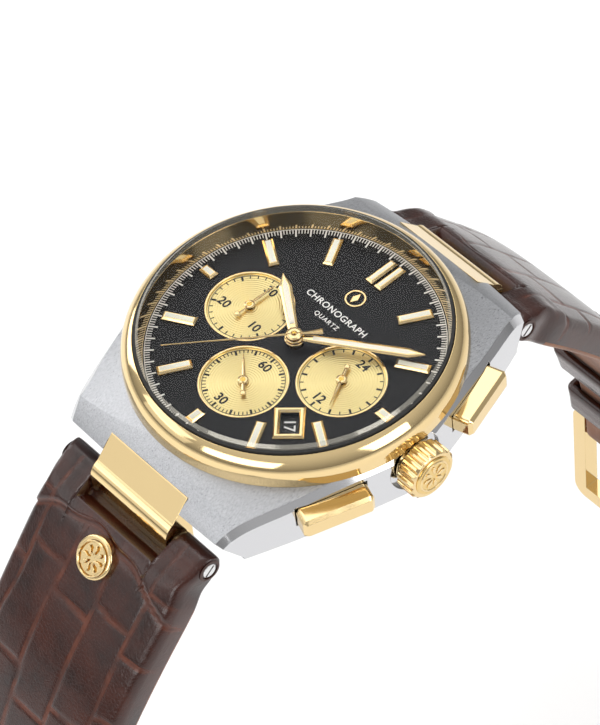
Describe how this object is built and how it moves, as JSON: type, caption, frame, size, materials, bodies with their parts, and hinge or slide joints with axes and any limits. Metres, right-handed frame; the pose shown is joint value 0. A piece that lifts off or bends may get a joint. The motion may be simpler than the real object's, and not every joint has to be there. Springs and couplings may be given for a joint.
{
  "type": "chronograph wristwatch",
  "caption": "Two-tone quartz chronograph wristwatch with a tonneau steel case, round gold bezel, black dial with gold sub-dials, block pushers and a padded leather strap.",
  "frame": {"origin": "centre of the case back's outer flat face, on the dial axis", "axes": "+Z through the dial towards the crystal, +Y towards 12 o'clock, +X towards 3 o'clock and the crown"},
  "size_m": [0.0433, 0.1164, 0.115],
  "materials": {
    "steel_brushed": "brushed top with polished chamfers",
    "steel_polished": "polished",
    "gold_polished": "polished gold PVD on steel",
    "subdial_gold": "fine concentric turning, satin",
    "wheel_brass": "cut brass",
    "movement_nickel": "nickel-plated, fine grained",
    "coil_copper": "enamelled copper winding",
    "dial_black": "satin black lacquer",
    "date_black": "satin black with white printed figures",
    "lume_white": "matt luminous paint",
    "sapphire": "clear polished crystal",
    "gasket": "soft sealing ring",
    "holder_plastic": "moulded",
    "board_green": "solder-mask laminate",
    "strap_leather": "glossy crocodile-grain calf leather, padded"
  },
  "bodies": {
    "case": {"case_middle": "steel_brushed", "bezel": "gold_polished", "crystal": "sapphire", "crystal_gasket": "gasket", "flange_ring": "gold_polished", "dial": "dial_black", "subdial_plates": "subdial_gold", "hour_markers": "gold_polished", "marker_lume": "lume_white", "date_frame": "gold_polished", "case_back": "steel_brushed", "case_back_gasket": "gasket", "case_back_screws": "steel_polished", "movement_holder": "holder_plastic", "main_plate": "movement_nickel", "train_bridge": "movement_nickel", "circuit_board": "board_green", "battery": "steel_polished", "coil": "coil_copper", "lug_12": "gold_polished", "lug_6": "gold_polished", "lug_screws": "steel_polished", "strap_bars": "steel_polished", "crown_tube": "steel_polished", "pusher_tubes": "steel_polished", "start_spring": "steel_polished", "reset_spring": "steel_polished"},
    "minute": {"centre_wheel": "wheel_brass", "minute_hand": "gold_polished"},
    "hour": {"hour_wheel": "wheel_brass", "hour_hand": "gold_polished"},
    "minute_wheel": {"minute_wheel": "wheel_brass"},
    "idler": {"idler_wheel": "wheel_brass"},
    "day": {"day_wheel": "wheel_brass", "day_hand": "gold_polished"},
    "third": {"third_wheel": "wheel_brass"},
    "seconds": {"seconds_pinion": "steel_polished", "seconds_hand": "gold_polished"},
    "chrono": {"chrono_pinion": "steel_polished", "chrono_hand": "gold_polished"},
    "chrono_middle": {"chrono_wheel": "wheel_brass"},
    "counter": {"counter_wheel": "wheel_brass", "counter_hand": "gold_polished"},
    "rotor": {"rotor": "steel_polished"},
    "date": {"date_disc": "date_black"},
    "clutch": {"clutch_pinion": "steel_polished"},
    "crown": {"crown": "gold_polished", "crown_cap": "gold_polished", "stem": "steel_polished"},
    "start": {"start_pusher": "gold_polished"},
    "reset": {"reset_pusher": "gold_polished"},
    "strap_12": {"strap_12": "strap_leather", "fixed_keeper": "strap_leather"},
    "free_keeper": {"free_keeper": "strap_leather"},
    "buckle": {"buckle_frame": "gold_polished", "buckle_bar": "steel_polished"},
    "tongue": {"buckle_tongue": "gold_polished"},
    "strap_6": {"strap_6": "strap_leather", "strap_stud": "gold_polished"}
  },
  "joints": [
    {"name": "minute_turn", "type": "hinge", "parent": "case", "child": "minute", "pos_m": [0, 0, 0.0098], "axis": [0, 0, -1], "continuous": true},
    {"name": "hour_turn", "type": "hinge", "parent": "case", "child": "hour", "pos_m": [0, 0, 0.0093], "axis": [0, 0, -1], "continuous": true},
    {"name": "minute_wheel_turn", "type": "hinge", "parent": "case", "child": "minute_wheel", "pos_m": [-0.0026, 0.0015, 0.0068], "axis": [0, 0, -1], "continuous": true},
    {"name": "idler_turn", "type": "hinge", "parent": "case", "child": "idler", "pos_m": [0.00249, 0.0026, 0.0072], "axis": [0, 0, -1], "continuous": true},
    {"name": "day_turn", "type": "hinge", "parent": "case", "child": "day", "pos_m": [0.0079, 0, 0.0089], "axis": [0, 0, -1], "continuous": true},
    {"name": "third_turn", "type": "hinge", "parent": "case", "child": "third", "pos_m": [0.00143, -0.00408, 0.0053], "axis": [0, 0, -1], "continuous": true},
    {"name": "seconds_turn", "type": "hinge", "parent": "case", "child": "seconds", "pos_m": [0, -0.0079, 0.0089], "axis": [0, 0, -1], "continuous": true},
    {"name": "chrono_turn", "type": "hinge", "parent": "case", "child": "chrono", "pos_m": [0, 0, 0.0102], "axis": [0, 0, -1], "continuous": true},
    {"name": "chrono_middle_turn", "type": "hinge", "parent": "case", "child": "chrono_middle", "pos_m": [-0.00399, 0.00171, 0.0046], "axis": [0, 0, -1], "continuous": true},
    {"name": "counter_turn", "type": "hinge", "parent": "case", "child": "counter", "pos_m": [-0.0079, 0, 0.0089], "axis": [0, 0, -1], "continuous": true},
    {"name": "rotor_turn", "type": "hinge", "parent": "case", "child": "rotor", "pos_m": [-0.0032, -0.0076, 0.005], "axis": [0, 0, -1], "continuous": true},
    {"name": "date_turn", "type": "hinge", "parent": "case", "child": "date", "pos_m": [0, 0, 0.0079], "axis": [0, 0, -1], "continuous": true},
    {"name": "crown_turn", "type": "hinge", "parent": "case", "child": "clutch", "pos_m": [0.012, 0, 0.0047], "axis": [1, 0, 0], "continuous": true},
    {"name": "crown_pull", "type": "slide", "parent": "clutch", "child": "crown", "axis": [1, 0, 0], "range_m": [0, 0.0015]},
    {"name": "start_press", "type": "slide", "parent": "case", "child": "start", "axis": [-0.9518, -0.3067, 0], "range_m": [0, 0.0008], "stiffness_N_per_m": 800, "springref_m": -0.0006, "deforming": ["start_spring"]},
    {"name": "reset_press", "type": "slide", "parent": "case", "child": "reset", "axis": [-0.9518, 0.3067, 0], "range_m": [0, 0.0008], "stiffness_N_per_m": 800, "springref_m": -0.0006, "deforming": ["reset_spring"]},
    {"name": "strap_12_hinge", "type": "hinge", "parent": "case", "child": "strap_12", "pos_m": [0, 0.0243, 0.0001], "axis": [1, 0, 0], "range_deg": [-25, 28]},
    {"name": "strap_6_hinge", "type": "hinge", "parent": "case", "child": "strap_6", "pos_m": [0, -0.0243, 0.0001], "axis": [-1, 0, 0], "range_deg": [-25, 28]},
    {"name": "keeper_slide", "type": "slide", "parent": "strap_12", "child": "free_keeper", "axis": [0, 0.2424, -0.9702], "range_m": [-0.003, 0.003]},
    {"name": "buckle_hinge", "type": "hinge", "parent": "strap_12", "child": "buckle", "pos_m": [0, 0.05508, -0.06407], "axis": [1, 0, 0], "range_deg": [-35, 35]},
    {"name": "tongue_hinge", "type": "hinge", "parent": "buckle", "child": "tongue", "pos_m": [0, 0.05508, -0.06407], "axis": [1, 0, 0], "range_deg": [0, 65]}
  ],
  "couplings": [
    {"joint": "hour_turn", "follows": "minute_turn", "ratio": 0.083333},
    {"joint": "minute_wheel_turn", "follows": "minute_turn", "ratio": -0.33333},
    {"joint": "idler_turn", "follows": "minute_turn", "ratio": -0.16667},
    {"joint": "day_turn", "follows": "minute_turn", "ratio": 0.041667},
    {"joint": "third_turn", "follows": "minute_turn", "ratio": -8},
    {"joint": "seconds_turn", "follows": "minute_turn", "ratio": 60},
    {"joint": "chrono_middle_turn", "follows": "chrono_turn", "ratio": -0.16667},
    {"joint": "counter_turn", "follows": "chrono_turn", "ratio": 0.033333}
  ]
}
